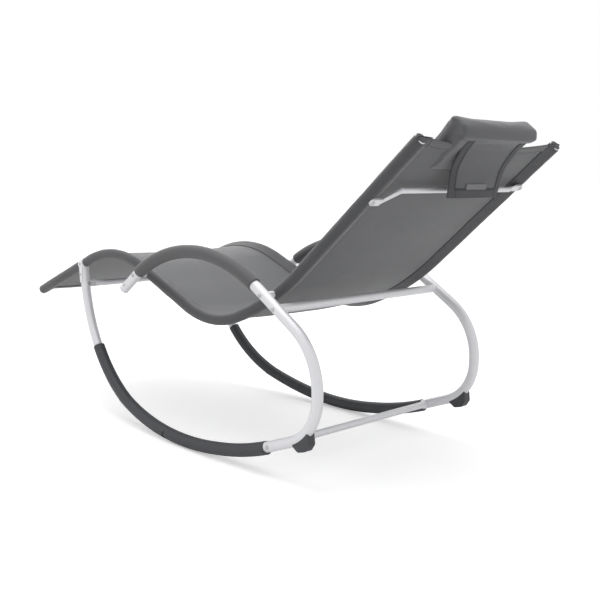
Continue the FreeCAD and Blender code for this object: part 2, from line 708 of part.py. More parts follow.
def fixings():
    """Left-hand fasteners by name: head seat, way out, shank diameter and length, head, seat shape."""
    out = Vector(1, 0, 0)
    screw_head = (SCREW_HEAD_D, SCREW_HEAD_H)
    rivet_head = (RIVET_HEAD_D, RIVET_HEAD_H)
    loop = loop_path()
    crown = Vector(LOOP_OD / 2, 0, 0)
    to_rail = LOOP_X + LOOP_OD / 2 - RAIL_X - RAIL_OD / 2 + RAIL_WALL + SCREW_REACH
    to_insert = LOOP_OD + CROSS_INSERT - SCREW_REACH

    def loop_seat(point, way):
        return rod(point - way * 30, way, LOOP_OD, 60)

    def through_loop(place, length):
        point, way = loop_at((place.y, place.z))
        return (point + crown, out, SCREW_D, length, screw_head, loop_seat(point, way))

    stub, stub_way = loop.at(PLUG_SCREW_IN)
    found = {
        "arm_screw": [through_loop(crossing(-240, -140), to_rail)],
        "plug_screw": [(stub + crown, out, PLUG_SCREW_D, LOOP_WALL + 7,
                        (PLUG_SCREW_HEAD_D, PLUG_SCREW_HEAD_H), loop_seat(stub, stub_way))],
        "rear_screws": [through_loop(crossing(300, 420), to_rail),
                        through_loop(loop_at(CROSS_TUBE_AT)[0], to_insert)],
        "rocker_bar_screw": [through_loop(loop_at(ROCKER_BAR_AT)[0], to_insert)],
    }
    seat, direction = rail_at_y(UPRIGHT_TOP_Y)
    post = loop.at(loop.length() - RIVET_DOWN)[0]
    skin = LUG_CLEARANCE + SADDLE_THICK
    saddle = rod(seat - direction * 40, direction, RAIL_OD + 2 * skin, 80)
    tail = tube(loop.cut(loop.length() - 80, loop.length()), LOOP_OD + 2 * skin)
    grip = skin + RAIL_WALL + 3
    found["lug_rivets"] = [
        (seat + out * (RAIL_OD / 2 + skin), out, RIVET_D, grip, rivet_head, saddle),
        (post + out * (LOOP_OD / 2 + skin), out, RIVET_D, grip, rivet_head, tail)]
    flat_grip = LUG_THICK + RAIL_WALL + SCREW_REACH
    centre, normal = foot_brace_frame()
    face = centre + normal * (LUG_THICK / 2) + Vector(UPRIGHT_X, 0, 0)
    found["foot_brace_bolt"] = [(face, normal, SCREW_D, flat_grip, screw_head, None)]
    return found


def back_brace_bolts():
    """The left and the right bolt of the back brace, in the form that fixings() uses."""
    centre, direction, normal = back_brace_frame()
    face = centre + normal * (LUG_THICK / 2)
    grip = LUG_THICK + UNDER_BACK_LUG + RAIL_WALL + SCREW_REACH
    head = (SCREW_HEAD_D, SCREW_HEAD_H)
    left = face + Vector(RAIL_X, 0, 0)
    right = face + direction * BACK_BRACE_RISE - Vector(RAIL_X, 0, 0)
    return [(place, normal, SCREW_D, grip, head, None) for place in (left, right)]


def fastener(place, out, shank_d, length, head, seat):
    """Bevelled head, shaped to the round wall that it sits on, and a plain shank."""
    sunk = 3.0 if seat else 0.0
    cap = rod(place - out * sunk, out, head[0], head[1] + sunk)
    top = place + out * head[1]
    rim = [e for e in cap.Edges if e.CenterOfMass.distanceToPoint(top) < 0.1]
    cap = cap.makeChamfer(head[1] * 0.5, rim)
    if seat:
        cap = max(cap.cut(seat).Solids, key=lambda s: s.CenterOfMass.distanceToPoint(place - out * 99))
    return fused([cap, rod(place + out * (head[1] / 2), out * -1, shank_d, length + head[1] / 2)])


def fastener_hole(place, out, shank_d, length, head, seat):
    return rod(place + out, out * -1, shank_d + 2 * HOLE_CLEARANCE, length + 2)


SHAPES = {}


def keep(name, shape):
    SHAPES[name] = shape


def build():
    stub, stub_dir = loop_path().at(0.0)
    rail = rail_path()
    foot_end, foot_dir = rail.at(0.0)
    head_end, head_dir = rail.at(rail.length())
    found = fixings()
    holes = [fastener_hole(*f) for group in found.values() for f in group]
    holes.append(foot_peg(FOOT_PEG_D + 2 * COVER_CLEARANCE))
    one_side = {
        "side_loop": side_loop().cut(holes),
        "arm_grip": arm_grip(),
        "rocker_sleeve": rocker_sleeve(),
        "bumper_foot": bumper_foot(),
        "rail_lug": rail_lug().cut(holes),
        "arm_end_plug": tube_plug(stub, stub_dir * -1, LOOP_OD, LOOP_WALL).cut(holes),
        "rail_foot_plug": tube_plug(foot_end, foot_dir * -1, RAIL_OD, RAIL_WALL),
        "rail_head_plug": tube_plug(head_end, head_dir, RAIL_OD, RAIL_WALL),
        "arm_spacer": spacer(crossing(-240, -140)).cut(holes),
        "rear_spacer": spacer(crossing(300, 420)).cut(holes),
    }
    for name, group in found.items():
        one_side[name] = Part.makeCompound([fastener(*f) for f in group])
    for side_name, side in SIDES:
        for name, shape in one_side.items():
            keep(name + "_" + side_name, to_side(shape, side))
    bolts = back_brace_bolts()
    bolt_holes = [fastener_hole(*bolt) for bolt in bolts]
    for (side_name, side), bolt, hole in zip(SIDES, bolts, bolt_holes):
        keep("back_brace_bolt_" + side_name, fastener(*bolt))
        keep("seat_rail_" + side_name, to_side(seat_rail().cut(holes), side).cut(hole))
    both = holes + [to_side(hole, -1) for hole in holes]
    keep("rear_cross_tube", cross_member(CROSS_TUBE_AT, CROSS_OD).cut(both))
    keep("rocker_cross_bar", cross_member(ROCKER_BAR_AT, ROCKER_BAR_OD).cut(both))
    keep("back_brace", back_brace().cut(bolt_holes))
    keep("foot_brace", foot_brace().cut(both))
    keep("sling", sling().cut(bolt_holes))
    keep("head_pillow", pillow())
    keep("pillow_flap", flap())
    keep("flap_patch", patch())


def centre_on_floor():
    """Move every shape so that the middle of the underside of the whole is the origin."""
    whole = Part.makeCompound(list(SHAPES.values())).optimalBoundingBox(False, False)
    shift = Vector(0, -(whole.YMin + whole.YMax) / 2, -whole.ZMin)
    print("moved by y %.3f z %.3f" % (shift.y, shift.z))
    for shape in SHAPES.values():
        shape.translate(shift)


def export():
    os.makedirs("parts", exist_ok=True)
    for name, shape in SHAPES.items():
        solids = shape.Solids
        shape = solids[0] if len(solids) == 1 else Part.makeCompound(solids)
        shape.exportStep("parts/%s.step" % name)
        print(name, len(solids), "valid", shape.isValid(), "volume %.0f" % shape.Volume)


build()
centre_on_floor()
export()
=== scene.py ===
# %% [markdown]
# # A rocking chaise lounge, dressed for a photograph
# The chair is two bent side loops, two S-shaped seat rails, a textile sling and a head pillow.
# The CAD model gives every rigid piece its true size, so this lesson loads it as a frame first.
# Hard pieces keep their CAD shape and get a finish. Cloth, foam and rubber are made again here.

import math
import bmesh
import bpy
from mathutils import Matrix, Vector, noise


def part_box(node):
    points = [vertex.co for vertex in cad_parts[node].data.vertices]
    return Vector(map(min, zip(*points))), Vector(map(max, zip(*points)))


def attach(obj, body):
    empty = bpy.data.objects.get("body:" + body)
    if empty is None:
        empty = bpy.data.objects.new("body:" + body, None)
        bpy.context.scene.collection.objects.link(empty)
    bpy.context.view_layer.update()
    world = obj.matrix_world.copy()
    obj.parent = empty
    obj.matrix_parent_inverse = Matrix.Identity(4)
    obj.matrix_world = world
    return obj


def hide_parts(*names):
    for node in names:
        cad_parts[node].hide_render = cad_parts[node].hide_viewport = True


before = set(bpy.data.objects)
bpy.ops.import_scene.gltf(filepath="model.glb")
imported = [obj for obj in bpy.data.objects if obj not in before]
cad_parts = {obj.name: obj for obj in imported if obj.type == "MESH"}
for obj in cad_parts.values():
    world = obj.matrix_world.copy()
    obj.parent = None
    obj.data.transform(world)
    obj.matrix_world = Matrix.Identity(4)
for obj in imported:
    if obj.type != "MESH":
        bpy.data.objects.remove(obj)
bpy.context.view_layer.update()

# %% [markdown]
# ## Driving sizes
# All the soft pieces follow the seat rails, so the rails' corner points come first, in metres.
# They are written in the source's own place. The frame then tells how far that place was moved
# to put the origin on the floor, by comparing the rail's foot end with its CAD box.

# %% Sizes of the rails, the loops and the sling
RAIL_X = 0.267
RAIL_R = 0.013
RAIL_CORNERS = [(-0.803, 0.345), (-0.361, 0.528), (0.104, 0.333), (0.347, 0.436), (0.790, 0.8254)]
RAIL_RADII = [0.371, 0.292, 0.700]

LOOP_X = 0.312
LOOP_R = 0.014
ARM_CORNERS = [(-0.245, 0.408), (0.063, 0.637), (0.546, 0.337)]
ARM_RADIUS = 0.469
GRIP_R = 0.018
GRIP_FRONT = (-0.1696, 0.4638)
GRIP_REAR = (0.322, 0.472)

SEAM_X = 0.231          # where the panel is sewn to the sleeve of each rail
SLING_SAG = 0.007
HEM_HOLLOW = 0.014      # how far the free hems curve in at mid width
HEM_WIDE = 0.022
CLOTH = 0.0012
SLEEVE_R = 0.0142


# %% [markdown]
# ## Courses: straight runs joined by tangent arcs
# A tube bender makes straight stretches and round bends, so a centre line is a row of corner
# points with one bend radius each. `Course.at` gives the point and the direction at a distance.

# %% A course from corners and bend radii
class Course:
    def __init__(self, corners, radii):
        self.parts = []
        runs = [b - a for a, b in zip(corners, corners[1:])]
        turns = [a.angle(b) for a, b in zip(runs, runs[1:])]
        reaches = [r * math.tan(t / 2) for r, t in zip(radii, turns)]
        here = corners[0]
        for i, reach in enumerate(reaches):
            way = runs[i].normalized()
            start = corners[i + 1] - way * reach
            self.parts.append(("line", here, way, (start - here).length))
            axis = way.cross(runs[i + 1]).normalized()
            centre = start + axis.cross(way) * radii[i]
            self.parts.append(("arc", start, way, radii[i] * turns[i], centre, axis, radii[i]))
            here = corners[i + 1] + runs[i + 1].normalized() * reach
        last = corners[-1] - here
        self.parts.append(("line", here, last.normalized(), last.length))
        self.length = sum(part[3] for part in self.parts)

    def at(self, s):
        for part in self.parts:
            if s <= part[3] or part is self.parts[-1]:
                break
            s -= part[3]
        if part[0] == "line" or s < 0:
            return part[1] + part[2] * s, part[2]
        turn = Matrix.Rotation(s / part[6], 3, part[5])
        return part[4] + turn @ (part[1] - part[4]), turn @ part[2]

    def nearest(self, point):
        """Distance along the course of the place nearest to a point."""
        best = min((i * 0.002 for i in range(int(self.length / 0.002) + 1)),
                   key=lambda s: (self.at(s)[0] - point).length)
        return best


def corner_points(corners, x):
    return [Vector((x, y, z)) + moved for y, z in corners]


# %% How far the frame was moved from the source's own place
foot = Vector((0, *RAIL_CORNERS[0]))
first_run = (Vector((0, *RAIL_CORNERS[1])) - foot).normalized()
low = Vector(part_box("seat_rail_left")[0])
moved = Vector((0, low.y - (foot.y - RAIL_R * abs(first_run.z)), low.z - (foot.z - RAIL_R * first_run.y)))
print("moved by", [round(v * 1000, 2) for v in moved], "mm")

rail = Course(corner_points(RAIL_CORNERS, 0), RAIL_RADII)
arm = Course(corner_points(ARM_CORNERS, LOOP_X), [ARM_RADIUS])
print("rail length %.3f m" % rail.length)


# %% [markdown]
# ## Small helpers
# A mesh is built from points and faces, with a UV map in metres so that a weave keeps its scale.
# `shown` puts it in the scene, and each piece is then told which body of the frame it rides on.

# %% Mesh helpers
def shown(name, points, faces, material, uvs=None, smooth=True):
    """A new piece from points and faces, with one material."""
    mesh = bpy.data.meshes.new(name)
    mesh.from_pydata([tuple(p) for p in points], [], faces)
    if uvs is not None:
        layer = mesh.uv_layers.new(name="cloth")
        for loop in mesh.loops:
            layer.data[loop.index].uv = uvs[loop.vertex_index]
    mesh.materials.append(material)
    if smooth:
        mesh.shade_smooth()
    mesh.update()
    obj = bpy.data.objects.new(name, mesh)
    bpy.context.collection.objects.link(obj)
    return obj


def grid_faces(rows, columns, closed=False, skip=lambda i, j: False):
    """Four-sided faces between the points of a grid, row by row."""
    faces = []
    across = columns if closed else columns - 1
    for i in range(rows - 1):
        for j in range(across):
            if skip(i, j):
                continue
            k = (j + 1) % columns
            a, b = i * columns, (i + 1) * columns
            faces.append((a + j, a + k, b + k, b + j))
    return faces


def outward(obj):
    """Makes every face of a closed or thick mesh point out."""
    work = bmesh.new()
    work.from_mesh(obj.data)
    bmesh.ops.recalc_face_normals(work, faces=work.faces)
    work.to_mesh(obj.data)
    work.free()


def apply_modifiers(obj):
    """The evaluated shape becomes the piece's plain mesh."""
    graph = bpy.context.evaluated_depsgraph_get()
    mesh = bpy.data.meshes.new_from_object(obj.evaluated_get(graph))
    obj.modifiers.clear()
    obj.data = mesh


def thick(obj, thickness):
    """Gives a sheet its thickness, half on each side."""
    solid = obj.modifiers.new("thickness", "SOLIDIFY")
    solid.thickness = thickness
    solid.offset = 0.0
    apply_modifiers(obj)


def triangles(obj):
    return sum(len(p.vertices) - 2 for p in obj.data.polygons)


# %% [markdown]
# ## Finishes
# Two effects are shared by several finishes, so each is a node group: a fine uneven grain for
# moulded and coated surfaces, and the plain weave of coated yarn for the textile, whose colour has
# painted shade in the gaps between the yarns. A group only puts out colours, values and heights.
# The shader itself stays in each material.

# %% Node group helpers
def new_group(name, inputs, outputs):
    group = bpy.data.node_groups.new(name, "ShaderNodeTree")
    for label, kind, value in inputs:
        socket = group.interface.new_socket(label, in_out="INPUT", socket_type=kind)
        if value is not None:
            socket.default_value = value
    for label, kind in outputs:
        group.interface.new_socket(label, in_out="OUTPUT", socket_type=kind)
    return group, group.nodes.new("NodeGroupInput"), group.nodes.new("NodeGroupOutput")


def node(tree, kind, links=None, **values):
    made = tree.nodes.new(kind)
    for key, value in values.items():
        setattr(made, key, value)
    for key, source in (links or {}).items():
        socket = made.inputs[key]
        if hasattr(source, "is_output"):
            tree.links.new(source, socket)
        else:
            socket.default_value = source
    return made


def maths(tree, operation, a, b=0.0):
    return node(tree, "ShaderNodeMath", {0: a, 1: b}, operation=operation).outputs[0]


# %% The grain of moulded and coated surfaces
grain_group, grain_in, grain_out = new_group(
    "surface grain",
    [("Scale", "NodeSocketFloat", 900.0), ("Depth", "NodeSocketFloat", 1.0),
     ("Patchiness", "NodeSocketFloat", 0.06), ("Colour", "NodeSocketColor", (0.5, 0.5, 0.5, 1))],
    [("Colour", "NodeSocketColor"), ("Height", "NodeSocketFloat")])
where = node(grain_group, "ShaderNodeTexCoord").outputs["Object"]
fine = node(grain_group, "ShaderNodeTexNoise",
            {"Vector": where, "Scale": grain_in.outputs["Scale"], "Detail": 2.0}).outputs[0]
broad = node(grain_group, "ShaderNodeTexNoise", {"Vector": where, "Scale": 9.0, "Detail": 3.0}).outputs[0]
uneven = maths(grain_group, "SUBTRACT", broad, 0.5)
shade = maths(grain_group, "MULTIPLY", uneven, grain_in.outputs["Patchiness"])
lift = maths(grain_group, "ADD", shade, 1.0)
toned = node(grain_group, "ShaderNodeVectorMath", {0: grain_in.outputs["Colour"]}, operation="SCALE")
grain_group.links.new(lift, toned.inputs["Scale"])
grain_group.links.new(toned.outputs[0], grain_out.inputs["Colour"])
grain_height = maths(grain_group, "MULTIPLY", fine, grain_in.outputs["Depth"])
grain_group.links.new(grain_height, grain_out.inputs["Height"])
print("grain group has", len(grain_group.nodes), "nodes")

# %% The weave of coated yarn, with painted shade between the yarns
weave_group, weave_in, weave_out = new_group(
    "textile weave",
    [("Pitch", "NodeSocketFloat", 0.0016), ("Colour", "NodeSocketColor", (0.1, 0.1, 0.1, 1)),
     ("Painted shade level", "NodeSocketFloat", 0.55)],
    [("Colour", "NodeSocketColor"), ("Height", "NodeSocketFloat")])
uv = node(weave_group, "ShaderNodeUVMap", uv_map="cloth").outputs[0]
parts = node(weave_group, "ShaderNodeSeparateXYZ", {0: uv})
over = maths(weave_group, "DIVIDE", parts.outputs[0], weave_in.outputs["Pitch"])
along = maths(weave_group, "DIVIDE", parts.outputs[1], weave_in.outputs["Pitch"])
ribs = [maths(weave_group, "ABSOLUTE", maths(weave_group, "SINE", maths(weave_group, "MULTIPLY", v, math.pi)))
        for v in (over, along)]
check = maths(weave_group, "PINGPONG", maths(weave_group, "ADD", maths(weave_group, "FLOOR", over),
                                             maths(weave_group, "FLOOR", along)), 1.0)
warp = maths(weave_group, "MULTIPLY", ribs[0], check)
weft = maths(weave_group, "MULTIPLY", ribs[1], maths(weave_group, "SUBTRACT", 1.0, check))
height = maths(weave_group, "ADD", warp, weft)
# Painted shade: the colour is scaled down towards each yarn's edges and the gaps between yarns, following the
# weave's heights; the level is the share of colour left in the gaps.
painted_gap_shade = weave_in.outputs["Painted shade level"]
rise = maths(weave_group, "MULTIPLY", height, maths(weave_group, "SUBTRACT", 1.0, painted_gap_shade))
toned = node(weave_group, "ShaderNodeVectorMath", {0: weave_in.outputs["Colour"]}, operation="SCALE")
weave_group.links.new(maths(weave_group, "ADD", rise, painted_gap_shade), toned.inputs["Scale"])
weave_group.links.new(toned.outputs[0], weave_out.inputs["Colour"])
weave_group.links.new(height, weave_out.inputs["Height"])
print("weave group has", len(weave_group.nodes), "nodes")


# %% One material from a colour, a group and a few plain values
def finish_of(name, colour, group, group_values, bump, bump_distance, **plain):
    material = bpy.data.materials.new(name)
    material.use_nodes = True
    tree = material.node_tree
    shader = tree.nodes["Principled BSDF"]
    for key, value in plain.items():
        shader.inputs[key.replace("_", " ")].default_value = value
    effect = tree.nodes.new("ShaderNodeGroup")
    effect.node_tree = group
    effect.inputs["Colour"].default_value = (*colour, 1)
    for key, value in group_values.items():
        effect.inputs[key].default_value = value
    relief = node(tree, "ShaderNodeBump", {"Strength": bump, "Distance": bump_distance,
                                           "Height": effect.outputs["Height"]})
    tree.links.new(effect.outputs["Colour"], shader.inputs["Base Color"])
    tree.links.new(relief.outputs[0], shader.inputs["Normal"])
    return material


# %% The materials
powder_coat = finish_of("silver powder coat", (0.76, 0.76, 0.785), grain_group,
                        {"Scale": 700.0, "Depth": 1.0, "Patchiness": 0.05}, 0.10, 0.0004,
                        Roughness=0.36, Metallic=0.25, Coat_Weight=0.15, Coat_Roughness=0.25)
white_plastic = finish_of("white moulded plastic", (0.82, 0.82, 0.83), grain_group,
                          {"Scale": 500.0, "Depth": 1.0, "Patchiness": 0.04}, 0.08, 0.0003, Roughness=0.42)
rubber = finish_of("dark moulded rubber", (0.052, 0.054, 0.060), grain_group,
                   {"Scale": 420.0, "Depth": 1.0, "Patchiness": 0.25}, 0.25, 0.0005, Roughness=0.55)
foam = finish_of("closed-cell foam", (0.088, 0.088, 0.092), grain_group,
                 {"Scale": 650.0, "Depth": 1.0, "Patchiness": 0.18}, 0.45, 0.0008, Roughness=0.62,
                 Sheen_Weight=0.25, Sheen_Roughness=0.4)
dark_plastic = finish_of("dark moulded plastic", (0.045, 0.045, 0.05), grain_group,
                         {"Scale": 500.0, "Depth": 1.0, "Patchiness": 0.1}, 0.1, 0.0003, Roughness=0.45)
steel = finish_of("zinc plated steel", (0.55, 0.55, 0.57), grain_group,
                  {"Scale": 900.0, "Depth": 1.0, "Patchiness": 0.1}, 0.05, 0.0002,
                  Roughness=0.35, Metallic=0.9)
# The weave group paints shade into the gaps between the yarns of these three cloths.
textile = finish_of("grey sling textile", (0.105, 0.107, 0.113), weave_group,
                    {"Pitch": 0.0016, "Painted shade level": 0.6}, 0.5, 0.0006, Roughness=0.5,
                    Sheen_Weight=0.35, Sheen_Roughness=0.35)
# The sleeves are the same cloth as the panel; this darker copy of it is painted shade on the sleeves round
# the rails.
sleeve_textile_painted_shade = finish_of("sleeve textile with painted shade", (0.070, 0.071, 0.076), weave_group,
                           {"Pitch": 0.0016, "Painted shade level": 0.6}, 0.5, 0.0006, Roughness=0.5,
                           Sheen_Weight=0.3, Sheen_Roughness=0.35)
binding = finish_of("edge binding", (0.060, 0.061, 0.066), weave_group,
                    {"Pitch": 0.0011, "Painted shade level": 0.7}, 0.4, 0.0004, Roughness=0.55)
cover = finish_of("coated pillow cloth", (0.085, 0.086, 0.092), grain_group,
                  {"Scale": 800.0, "Depth": 1.0, "Patchiness": 0.12}, 0.2, 0.0004, Roughness=0.42,
                  Sheen_Weight=0.2, Sheen_Roughness=0.4)
patch_cloth = finish_of("patch cloth", (0.16, 0.16, 0.17), grain_group,
                        {"Scale": 800.0, "Depth": 1.0, "Patchiness": 0.1}, 0.15, 0.0003, Roughness=0.4)
thread = finish_of("sewing thread", (0.028, 0.028, 0.031), grain_group,
                   {"Scale": 900.0, "Depth": 1.0, "Patchiness": 0.1}, 0.1, 0.0002, Roughness=0.6)
print(len(bpy.data.materials), "materials")


# %% [markdown]
# ## Hard pieces keep their CAD shape
# Tubes, braces, plugs and screws are already right. Their CAD mesh is loose triangles, so a copy
# is merged into one skin and shaded smooth up to 30 degrees, which keeps the cut edges crisp.

# %% Dress the hard pieces
def dress(node_name, material):
    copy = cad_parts[node_name].copy()
    copy.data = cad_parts[node_name].data.copy()
    copy.name = node_name + "_dressed"
    copy.parent = None
    copy.matrix_world = Matrix.Identity(4)
    bpy.context.collection.objects.link(copy)
    work = bmesh.new()
    work.from_mesh(copy.data)
    bmesh.ops.remove_doubles(work, verts=work.verts, dist=1e-6)
    for face in work.faces:
        face.smooth = True
    for edge in work.edges:
        if len(edge.link_faces) == 2:
            edge.smooth = edge.calc_face_angle(0) < math.radians(30)
    work.to_mesh(copy.data)
    work.free()
    copy.data.materials.clear()
    copy.data.materials.append(material)
    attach(copy, "frame")
    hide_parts(node_name)
    return copy


HARD = {
    powder_coat: ["side_loop", "seat_rail", "arm_spacer", "rear_spacer"],
    white_plastic: ["rail_lug"],
    rubber: ["bumper_foot"],
    dark_plastic: ["arm_end_plug", "rail_foot_plug", "rail_head_plug"],
    steel: ["arm_screw", "plug_screw", "rear_screws", "rocker_bar_screw", "lug_rivets",
            "back_brace_bolt", "foot_brace_bolt"],
}
for material, names in HARD.items():
    for name in names:
        for side in ("left", "right"):
            dress(name + "_" + side, material)
for name in ("rear_cross_tube", "rocker_cross_bar", "back_brace", "foot_brace"):
    dress(name, powder_coat)
print("dressed", sum(len(v) for v in HARD.values()) * 2 + 4, "hard pieces")

# %% [markdown]
# ## Foam grips and rubber sleeves, grown along the bent tube
# Both are tubes pulled over the frame, with soft rounded ends. A row of points down the tube's
# centre carries the outer radius at each place, and one Geometry Nodes tree turns that row into
# the skin. The radius closes down to the bare tube at both ends.


# %% The tree that grows a skin on a row of points
def skin_tree():
    tree = bpy.data.node_groups.new("skin on a course", "GeometryNodeTree")
    tree.interface.new_socket("Geometry", in_out="INPUT", socket_type="NodeSocketGeometry")
    tree.interface.new_socket("Sides", in_out="INPUT", socket_type="NodeSocketInt")
    tree.interface.new_socket("Material", in_out="INPUT", socket_type="NodeSocketMaterial")
    tree.interface.new_socket("Geometry", in_out="OUTPUT", socket_type="NodeSocketGeometry")
    given = tree.nodes.new("NodeGroupInput")
    curve = node(tree, "GeometryNodeMeshToCurve", {0: given.outputs["Geometry"]})
    reach = node(tree, "GeometryNodeInputNamedAttribute", {"Name": "reach"}, data_type="FLOAT")
    ring = node(tree, "GeometryNodeCurvePrimitiveCircle",
                {"Resolution": given.outputs["Sides"], "Radius": 1.0})
    skin = node(tree, "GeometryNodeCurveToMesh",
                {"Curve": curve.outputs[0], "Profile Curve": ring.outputs[0], "Scale": reach.outputs[0]})
    smooth = node(tree, "GeometryNodeSetShadeSmooth", {"Geometry": skin.outputs[0]})
    real = node(tree, "GeometryNodeRealizeInstances", {0: smooth.outputs[0]})
    painted = node(tree, "GeometryNodeSetMaterial", {"Geometry": real.outputs[0],
                                                     "Material": given.outputs["Material"]})
    result = tree.nodes.new("NodeGroupOutput")
    tree.links.new(painted.outputs[0], result.inputs[0])
    return tree


SKIN = skin_tree()


def set_input(modifier, label, value):
    for item in modifier.node_group.interface.items_tree:
        if item.item_type == "SOCKET" and item.in_out == "INPUT" and item.name == label:
            modifier[item.identifier] = value


def grown(name, rows, material, sides=40):
    """A skin from (point, radius) rows, as a plain mesh."""
    mesh = bpy.data.meshes.new(name)
    mesh.from_pydata([tuple(p) for p, r in rows], [(i, i + 1) for i in range(len(rows) - 1)], [])
    reach = mesh.attributes.new("reach", "FLOAT", "POINT")
    for i, (p, r) in enumerate(rows):
        reach.data[i].value = r
    obj = bpy.data.objects.new(name, mesh)
    bpy.context.collection.objects.link(obj)
    modifier = obj.modifiers.new("skin", "NODES")
    modifier.node_group = SKIN
    set_input(modifier, "Sides", sides)
    set_input(modifier, "Material", material)
    apply_modifiers(obj)
    outward(obj)
    return obj


# %% Rows with rounded ends
END_DIP = 0.0004         # how far a cover's end dips under the bare tube
END_CLEAR = 0.00005
GRIP_ROUND = 0.0022      # rounding of the ends of a grip and of a rocker sleeve
SLEEVE_ROUND = 0.0012


def cover_rows(at, first, last, inner, outer, round_off, step=0.006, ripple=0.0):
    """(point, radius) down a course, from the bare tube out to the cover and back."""
    rows = []
    total = last - first

    def add(s, radius):
        rows.append((at(first + s)[0], radius))

    bevel = [(round_off * (1 - math.cos(a)), round_off * (1 - math.sin(a)))
             for a in (i * math.pi / 12 for i in range(7))]
    add(0.0, inner - END_DIP)
    for ahead, under in bevel:
        add(ahead + END_CLEAR, outer - under)
    count = int((total - 2 * round_off) / step)
    for i in range(1, count):
        s = round_off + (total - 2 * round_off) * i / count
        add(s, outer + ripple * noise.noise(Vector((s * 30, outer * 400, 3.1))))
    for ahead, under in reversed(bevel):
        add(total - ahead - END_CLEAR, outer - under)
    add(total, inner - END_DIP)
    return rows


# %% [markdown]
# The rocker sleeve follows the lower stretch of the loop, which is rolled in three passes and
# leans in towards the front upright. The course repeats that stretch from its radius and slopes.

# %% The loop's lower centre line
ROCKER_RADIUS = 0.910
ROCKER_LOW_Y = 0.052
ROCKER_REAR_SLOPE = math.radians(21.7)
ROCKER_FRONT_SLOPE = math.radians(18.5)
ROCKER_BENDS = 3
ROCKER_EASE = 0.012
ROCKER_TAIL = (0.470, 0.1085)             # on the straight run behind the rocking stretch
SLEEVE_REAR = (0.375, 0.0735)
SLEEVE_FRONT = (-0.452, 0.200)
SLEEVE_OD = 0.035
TOE_IN = 0.003
FRONT_CORNER = (-0.512, 0.155)
FRONT_RADIUS = 0.430
UPRIGHT_TOP = (-0.541, 0.450)


def rocker_course():
    """Centre line of the left loop's rocking stretch, from its rear end to the upright."""
    bend = (ROCKER_REAR_SLOPE + ROCKER_FRONT_SLOPE) / ROCKER_BENDS
    reach = ROCKER_RADIUS * math.tan(bend / 2)
    slope = ROCKER_REAR_SLOPE
    y = ROCKER_LOW_Y + ROCKER_RADIUS * math.sin(slope)
    z = SLEEVE_OD / 2 + ROCKER_RADIUS * (1 - math.cos(slope))
    corners = [Vector((LOOP_X, *ROCKER_TAIL))]
    radii = []
    step = reach
    for i in range(ROCKER_BENDS):
        y -= step * math.cos(slope)
        z -= step * math.sin(slope)
        corners.append(Vector((LOOP_X - (TOE_IN if i == ROCKER_BENDS - 1 else 0.0), y, z)))
        radii.append(ROCKER_RADIUS)
        slope -= bend
        step = 2 * reach + ROCKER_EASE
    corners += [Vector((RAIL_X, *FRONT_CORNER)), Vector((RAIL_X, *UPRIGHT_TOP))]
    radii.append(FRONT_RADIUS)
    return Course([c + moved for c in corners], radii)


rocker = rocker_course()
sleeve_first = rocker.nearest(Vector((LOOP_X, *SLEEVE_REAR)) + moved)
sleeve_last = rocker.nearest(Vector((RAIL_X, *SLEEVE_FRONT)) + moved)
print("rocker sleeve length %.3f m" % (sleeve_last - sleeve_first))

# %% Grow the covers of the left side and mirror them
grip_first = arm.nearest(Vector((LOOP_X, *GRIP_FRONT)) + moved)
grip_last = arm.nearest(Vector((LOOP_X, *GRIP_REAR)) + moved)


def mirrored(rows):
    """The same rows on the other side."""
    return [(Vector((-p.x, p.y, p.z)), r) for p, r in rows]


for side, flip in (("left", lambda rows: rows), ("right", mirrored)):
    rows = cover_rows(arm.at, grip_first, grip_last, LOOP_R, GRIP_R, GRIP_ROUND, ripple=0.0001)
    grip = grown("foam_grip_" + side, flip(rows), foam)
    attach(grip, "frame")
    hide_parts("arm_grip_" + side)
    rows = cover_rows(rocker.at, sleeve_first, sleeve_last, LOOP_R, SLEEVE_OD / 2, SLEEVE_ROUND)
    sleeve = grown("rubber_sleeve_" + side, flip(rows), rubber)
    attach(sleeve, "frame")
    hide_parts("rocker_sleeve_" + side)
    print(side, "grip", triangles(grip), "sleeve", triangles(sleeve), "triangles")

# %% [markdown]
# ## The sling
# One length of coated textile hangs between the rails. Each long edge wraps round its rail as a
# sleeve and comes back to a seam, so its section is a drop: round on the rail, and two straight
# sides that meet at the seam. The short edges are turned and hemmed, and curve in a little.


# %% Where the rail is, and which way is up from the cloth
def rail_frame(s):
    """Point and direction on the rails' line, and the way out of the cloth on the sitter's side."""
    point, way = rail.at(s)
    up = Vector((1, 0, 0)).cross(way)
    return point, way, up


def rail_distance(y):
    """Distance along the rail of a place given by its y in the source's own place."""
    low, high = 0.0, rail.length
    while high - low > 1e-5:
        middle = (low + high) / 2
        if rail.at(middle)[0].y < y + moved.y:
            low = middle
        else:
            high = middle
    return low


# %% The place where a fitting interrupts the sleeves
LEAST_ROW = 0.0006
NOTCHES = [("lug", rail_distance(-0.541), 0.015)]
print([(name, round(s, 3)) for name, s, half in NOTCHES])


def rows_along(first, last, step, extra=()):
    """Even marks with extra ones between, and none closer together than a thread."""
    count = int((last - first) / step)
    marks = [first + (last - first) * i / count for i in range(count + 1)] + list(extra)
    marks.sort()
    rows = [marks[0]]
    for s in marks[1:]:
        if s - rows[-1] > LEAST_ROW:
            rows.append(s)
    return rows


# %% The drop-shaped sleeve of one rail
HEAD_PAST = 0.004        # the sleeve runs past the rail's head end and flattens there
HEAD_FLATTEN = 0.82
FOOT_PAST = 0.003


